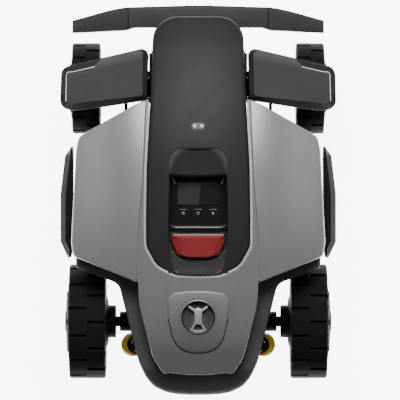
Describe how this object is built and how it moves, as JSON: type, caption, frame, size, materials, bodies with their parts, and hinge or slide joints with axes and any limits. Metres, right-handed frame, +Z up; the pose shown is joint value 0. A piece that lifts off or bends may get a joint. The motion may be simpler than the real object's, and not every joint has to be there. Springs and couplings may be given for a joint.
{
  "type": "robotic lawn mower",
  "caption": "Wheeled robotic lawn mower with a raised spine, wing-shaped front bumper, sprung steered front wheels under pods, large lugged rear wheels and a height dial.",
  "frame": {"origin": "on the ground under the middle of the machine", "axes": "+Y is forward, towards the front bumper; +X is the machine's right-hand side; +Z is up"},
  "size_m": [0.524, 0.739, 0.3299],
  "materials": {
    "satin_grey": "satin metallic grey",
    "dark_cover": "fine matte grain",
    "black_plastic": "matte",
    "gloss_black": "glossy",
    "window": "glossy tinted window",
    "sensor_grey": "satin",
    "silver": "satin silver",
    "stop_red": "semi-gloss",
    "tyre_rubber": "matte rubber",
    "wheel_black": "satin",
    "steel": "brushed",
    "motor_can": "cast",
    "light_white": "diffusing lens",
    "battery_case": "matte",
    "circuit_green": "satin",
    "contact_brass": "polished",
    "amber_rubber": "satin"
  },
  "bodies": {
    "chassis": {"base_pan": "black_plastic", "base_skirt": "dark_cover", "side_panel_left": "satin_grey", "side_panel_right": "satin_grey", "centre_shell": "satin_grey", "spine_cover": "dark_cover", "nose_fascia": "gloss_black", "camera_lenses": "gloss_black", "rain_sensor": "sensor_grey", "console_panel": "gloss_black", "display_window": "window", "console_lip": "silver", "dial_bezel": "satin_grey", "battery_pack": "battery_case", "controller_board": "circuit_green", "rear_axle_beam": "black_plastic", "front_cross_member": "black_plastic", "case_screws": "steel", "charge_contacts": "contact_brass"},
    "front_bumper": {"front_bumper": "dark_cover"},
    "stop_button": {"stop_button": "stop_red"},
    "key_left": {"key_left": "gloss_black"},
    "key_middle": {"key_middle": "gloss_black"},
    "key_right": {"key_right": "gloss_black"},
    "dial": {"dial_grip": "silver", "dial_shaft": "steel"},
    "lift_screw": {"lift_screw": "steel"},
    "cutting_unit": {"cutting_deck": "black_plastic", "cutting_motor_left": "motor_can", "cutting_motor_right": "motor_can"},
    "side_bumper_left": {"side_bumper_left": "black_plastic"},
    "disc_left": {"blade_disc_left": "steel"},
    "blade_left_1": {"blade_left_1": "steel"},
    "blade_left_2": {"blade_left_2": "steel"},
    "blade_left_3": {"blade_left_3": "steel"},
    "arm_left": {"swing_arm_left": "black_plastic", "fender_left": "dark_cover", "fender_light_left": "light_white"},
    "knuckle_left": {"knuckle_left": "black_plastic"},
    "front_wheel_left": {"tyre_front_left": "tyre_rubber", "rim_front_left": "wheel_black"},
    "rear_wheel_left": {"tyre_rear_left": "tyre_rubber", "rim_rear_left": "wheel_black"},
    "guide_roller_left": {"roller_tyre_left": "amber_rubber", "roller_hub_left": "gloss_black"},
    "side_bumper_right": {"side_bumper_right": "black_plastic"},
    "disc_right": {"blade_disc_right": "steel"},
    "blade_right_1": {"blade_right_1": "steel"},
    "blade_right_2": {"blade_right_2": "steel"},
    "blade_right_3": {"blade_right_3": "steel"},
    "arm_right": {"swing_arm_right": "black_plastic", "fender_right": "dark_cover", "fender_light_right": "light_white"},
    "knuckle_right": {"knuckle_right": "black_plastic"},
    "front_wheel_right": {"tyre_front_right": "tyre_rubber", "rim_front_right": "wheel_black"},
    "rear_wheel_right": {"tyre_rear_right": "tyre_rubber", "rim_rear_right": "wheel_black"},
    "guide_roller_right": {"roller_tyre_right": "amber_rubber", "roller_hub_right": "gloss_black"}
  },
  "joints": [
    {"name": "front_bumper_slide", "type": "slide", "parent": "chassis", "child": "front_bumper", "axis": [0, -1, 0], "range_m": [0, 0.006], "stiffness_N_per_m": 1500, "springref_m": -0.002},
    {"name": "stop_press", "type": "slide", "parent": "chassis", "child": "stop_button", "axis": [0, 0, -1], "range_m": [0, 0.004], "stiffness_N_per_m": 1500, "springref_m": -0.001},
    {"name": "key_left_press", "type": "slide", "parent": "chassis", "child": "key_left", "axis": [0, 0, -1], "range_m": [0, 0.001], "stiffness_N_per_m": 800, "springref_m": -0.001},
    {"name": "key_middle_press", "type": "slide", "parent": "chassis", "child": "key_middle", "axis": [0, 0, -1], "range_m": [0, 0.001], "stiffness_N_per_m": 800, "springref_m": -0.001},
    {"name": "key_right_press", "type": "slide", "parent": "chassis", "child": "key_right", "axis": [0, 0, -1], "range_m": [0, 0.001], "stiffness_N_per_m": 800, "springref_m": -0.001},
    {"name": "deck_lift", "type": "slide", "parent": "chassis", "child": "cutting_unit", "axis": [0, 0, 1], "range_m": [-0.016, 0.024]},
    {"name": "height_dial", "type": "hinge", "parent": "chassis", "child": "dial", "pos_m": [0, -0.22, 0.29], "axis": [0, 0, 1], "range_deg": [-110, 164]},
    {"name": "screw_turn", "type": "hinge", "parent": "chassis", "child": "lift_screw", "pos_m": [0, -0.132, 0.15], "axis": [0, 0, 1], "range_deg": [-115, 78]},
    {"name": "side_bumper_left_slide", "type": "slide", "parent": "chassis", "child": "side_bumper_left", "axis": [1, 0, 0], "range_m": [0, 0.004], "stiffness_N_per_m": 1500, "springref_m": -0.002},
    {"name": "disc_left_spin", "type": "hinge", "parent": "cutting_unit", "child": "disc_left", "pos_m": [-0.1, -0.01, 0.06], "axis": [0, 0, 1], "continuous": true},
    {"name": "blade_left_1_swing", "type": "hinge", "parent": "disc_left", "child": "blade_left_1", "pos_m": [-0.04631, 0.021, 0.045], "axis": [0, 0, 1], "range_deg": [-75, 75]},
    {"name": "blade_left_2_swing", "type": "hinge", "parent": "disc_left", "child": "blade_left_2", "pos_m": [-0.15369, 0.021, 0.045], "axis": [0, 0, 1], "range_deg": [-75, 75]},
    {"name": "blade_left_3_swing", "type": "hinge", "parent": "disc_left", "child": "blade_left_3", "pos_m": [-0.1, -0.072, 0.045], "axis": [0, 0, 1], "range_deg": [-75, 75]},
    {"name": "suspension_left", "type": "hinge", "parent": "chassis", "child": "arm_left", "pos_m": [-0.1, 0.215, 0.165], "axis": [0, 1, 0], "range_deg": [-6, 6], "stiffness_Nm_per_rad": 90, "springref_deg": -2.86},
    {"name": "steer_left", "type": "hinge", "parent": "arm_left", "child": "knuckle_left", "pos_m": [-0.214, 0.215, 0.19], "axis": [0, 0, 1], "range_deg": [-20, 20]},
    {"name": "front_wheel_left_spin", "type": "hinge", "parent": "knuckle_left", "child": "front_wheel_left", "pos_m": [-0.214, 0.215, 0.087], "axis": [1, 0, 0], "continuous": true},
    {"name": "rear_wheel_left_spin", "type": "hinge", "parent": "chassis", "child": "rear_wheel_left", "pos_m": [-0.211, -0.231, 0.109], "axis": [1, 0, 0], "continuous": true},
    {"name": "guide_roller_left_spin", "type": "hinge", "parent": "chassis", "child": "guide_roller_left", "pos_m": [-0.125, -0.276, 0.085], "axis": [0.3746, 0, 0.9272], "continuous": true},
    {"name": "side_bumper_right_slide", "type": "slide", "parent": "chassis", "child": "side_bumper_right", "axis": [-1, 0, 0], "range_m": [0, 0.004], "stiffness_N_per_m": 1500, "springref_m": -0.002},
    {"name": "disc_right_spin", "type": "hinge", "parent": "cutting_unit", "child": "disc_right", "pos_m": [0.1, -0.01, 0.06], "axis": [0, 0, 1], "continuous": true},
    {"name": "blade_right_1_swing", "type": "hinge", "parent": "disc_right", "child": "blade_right_1", "pos_m": [0.15369, 0.021, 0.045], "axis": [0, 0, 1], "range_deg": [-75, 75]},
    {"name": "blade_right_2_swing", "type": "hinge", "parent": "disc_right", "child": "blade_right_2", "pos_m": [0.04631, 0.021, 0.045], "axis": [0, 0, 1], "range_deg": [-75, 75]},
    {"name": "blade_right_3_swing", "type": "hinge", "parent": "disc_right", "child": "blade_right_3", "pos_m": [0.1, -0.072, 0.045], "axis": [0, 0, 1], "range_deg": [-75, 75]},
    {"name": "suspension_right", "type": "hinge", "parent": "chassis", "child": "arm_right", "pos_m": [0.1, 0.215, 0.165], "axis": [0, 1, 0], "range_deg": [-6, 6], "stiffness_Nm_per_rad": 90, "springref_deg": 2.86},
    {"name": "steer_right", "type": "hinge", "parent": "arm_right", "child": "knuckle_right", "pos_m": [0.214, 0.215, 0.19], "axis": [0, 0, 1], "range_deg": [-20, 20]},
    {"name": "front_wheel_right_spin", "type": "hinge", "parent": "knuckle_right", "child": "front_wheel_right", "pos_m": [0.214, 0.215, 0.087], "axis": [1, 0, 0], "continuous": true},
    {"name": "rear_wheel_right_spin", "type": "hinge", "parent": "chassis", "child": "rear_wheel_right", "pos_m": [0.211, -0.231, 0.109], "axis": [1, 0, 0], "continuous": true},
    {"name": "guide_roller_right_spin", "type": "hinge", "parent": "chassis", "child": "guide_roller_right", "pos_m": [0.125, -0.276, 0.085], "axis": [-0.3746, 0, 0.9272], "continuous": true}
  ],
  "couplings": [
    {"joint": "height_dial", "follows": "deck_lift", "rad_per_m": 117.8},
    {"joint": "screw_turn", "follows": "deck_lift", "rad_per_m": -81.554},
    {"joint": "steer_right", "follows": "steer_left", "ratio": 1}
  ]
}
